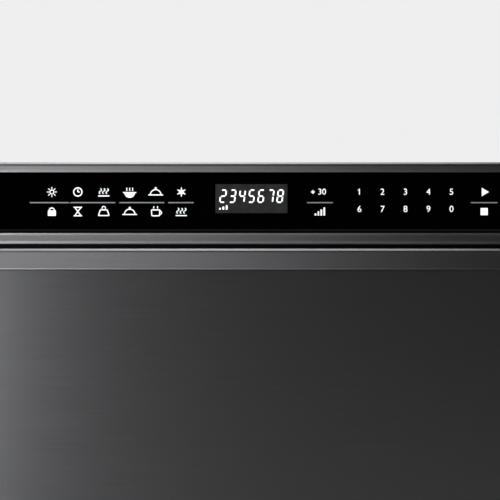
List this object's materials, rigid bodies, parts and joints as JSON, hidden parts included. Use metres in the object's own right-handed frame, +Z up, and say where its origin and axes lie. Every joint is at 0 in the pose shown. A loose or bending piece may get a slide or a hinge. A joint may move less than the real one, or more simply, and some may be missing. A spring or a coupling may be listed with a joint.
{
  "type": "built-in microwave drawer",
  "caption": "Built-in microwave drawer: a motor-driven pull-out cooking drawer under a touch control strip, in black stainless steel, for a cabinet cut-out.",
  "frame": {"origin": "middle of the chassis' front lower edge: on the shelf that it stands on, in the plane of the cabinet face", "axes": "+X to the user's right, +Y to the rear, +Z up; the drawer opens along -Y"},
  "size_m": [0.606, 0.598, 0.402],
  "materials": {
    "black_stainless": "horizontally brushed black stainless steel",
    "vent_black": "satin black paint",
    "control_glass": "black-backed glass, polished",
    "galvanised": "galvanised sheet steel",
    "cavity_enamel": "grey baked enamel",
    "waveguide_steel": "aluminised sheet",
    "magnetron_metal": "plated steel and aluminium fins",
    "transformer_iron": "varnished laminations",
    "fan_motor_iron": "laminated iron",
    "capacitor_can": "plain can",
    "black_plastic": "satin moulded plastic",
    "stirrer_cover_white": "pale microwave-clear plastic",
    "stirrer_metal": "bare sheet",
    "motor_case": "zinc plated",
    "gear_nylon": "natural acetal",
    "guide_plastic": "grey moulded plastic",
    "rail_zinc": "bright zinc",
    "circuit_board": "solder-masked board",
    "lamp_glass": "clear bulb",
    "tray_glass": "smoked ceramic glass",
    "rubber": "matt rubber"
  },
  "bodies": {
    "chassis": {"upper_trim": "black_stainless", "lower_trim": "black_stainless", "control_end_caps": "black_stainless", "bottom_trim": "vent_black", "front_frame": "vent_black", "control_glass": "control_glass", "base_pan": "galvanised", "outer_case": "galvanised", "rear_panel": "galvanised", "rail_bracket_left": "galvanised", "rail_bracket_right": "galvanised", "gearbox_base": "galvanised", "gearbox_cover": "galvanised", "lamp_holder": "galvanised", "interlock_brackets": "galvanised", "oven_cavity": "cavity_enamel", "waveguide": "waveguide_steel", "magnetron": "magnetron_metal", "high_voltage_transformer": "transformer_iron", "fan_motor": "fan_motor_iron", "high_voltage_capacitor": "capacitor_can", "control_housing": "black_plastic", "fan_shroud": "black_plastic", "high_voltage_diode": "black_plastic", "interlock_switches": "black_plastic", "air_duct": "black_plastic", "display_module": "black_plastic", "thermal_cutouts": "black_plastic", "stirrer_cover": "stirrer_cover_white", "stirrer_motor": "motor_case", "drive_motor": "motor_case", "rack_guide": "guide_plastic", "rail_outer_left": "rail_zinc", "rail_outer_right": "rail_zinc", "case_screws": "rail_zinc", "power_board": "circuit_board", "control_board": "circuit_board", "touch_board": "circuit_board", "oven_lamp": "lamp_glass", "cord_bushing": "rubber"},
    "drawer": {"drawer_front_skin": "black_stainless", "drawer_front_pan": "galvanised", "choke_frame": "cavity_enamel", "choke_cover": "black_plastic", "drawer_box": "cavity_enamel", "glass_tray": "tray_glass", "rail_inner_left": "rail_zinc", "rail_inner_right": "rail_zinc", "drive_rack": "gear_nylon", "interlock_strikers": "galvanised", "bumper_pads": "rubber"},
    "left_rail_middle": {"rail_middle_left": "rail_zinc"},
    "right_rail_middle": {"rail_middle_right": "rail_zinc"},
    "first_gear": {"drive_gear": "gear_nylon"},
    "second_gear": {"intermediate_gear": "gear_nylon"},
    "motor_gear": {"motor_pinion": "gear_nylon"},
    "fan": {"fan_blade": "guide_plastic"},
    "stirring_fan": {"stirrer": "stirrer_metal"},
    "left_plunger": {"switch_plunger_left": "guide_plastic"},
    "right_plunger": {"switch_plunger_right": "guide_plastic"}
  },
  "joints": [
    {"name": "drawer_slide", "type": "slide", "parent": "chassis", "child": "drawer", "axis": [0, -1, 0], "range_m": [0, 0.38]},
    {"name": "left_rail_slide", "type": "slide", "parent": "chassis", "child": "left_rail_middle", "axis": [0, -1, 0], "range_m": [0, 0.19]},
    {"name": "right_rail_slide", "type": "slide", "parent": "chassis", "child": "right_rail_middle", "axis": [0, -1, 0], "range_m": [0, 0.19]},
    {"name": "first_gear_spin", "type": "hinge", "parent": "chassis", "child": "first_gear", "pos_m": [0.0245, 0.05, 0.025], "axis": [0, 0, 1], "range_deg": [-5, 1250]},
    {"name": "second_gear_spin", "type": "hinge", "parent": "chassis", "child": "second_gear", "pos_m": [0.06087, 0.071, 0.035], "axis": [0, 0, 1], "range_deg": [-2495, 5]},
    {"name": "motor_gear_spin", "type": "hinge", "parent": "chassis", "child": "motor_gear", "pos_m": [0.09894, 0.05325, 0.04], "axis": [0, 0, 1], "range_deg": [-5, 4985]},
    {"name": "fan_spin", "type": "hinge", "parent": "chassis", "child": "fan", "pos_m": [0.112, 0.493, 0.24], "axis": [1, 0, 0], "continuous": true},
    {"name": "stirrer_spin", "type": "hinge", "parent": "chassis", "child": "stirring_fan", "pos_m": [0, 0.215, 0.276], "axis": [0, 0, 1], "continuous": true},
    {"name": "left_plunger_press", "type": "slide", "parent": "chassis", "child": "left_plunger", "axis": [0, 1, 0], "range_m": [0, 0.0015], "stiffness_N_per_m": 400, "springref_m": -0.0005},
    {"name": "right_plunger_press", "type": "slide", "parent": "chassis", "child": "right_plunger", "axis": [0, 1, 0], "range_m": [0, 0.0015], "stiffness_N_per_m": 400, "springref_m": -0.0005}
  ],
  "couplings": [
    {"joint": "left_rail_slide", "follows": "drawer_slide", "ratio": 0.5},
    {"joint": "right_rail_slide", "follows": "drawer_slide", "ratio": 0.5},
    {"joint": "first_gear_spin", "follows": "drawer_slide", "rad_per_m": 57.143},
    {"joint": "second_gear_spin", "follows": "drawer_slide", "rad_per_m": -114.29},
    {"joint": "motor_gear_spin", "follows": "drawer_slide", "rad_per_m": 228.57}
  ]
}
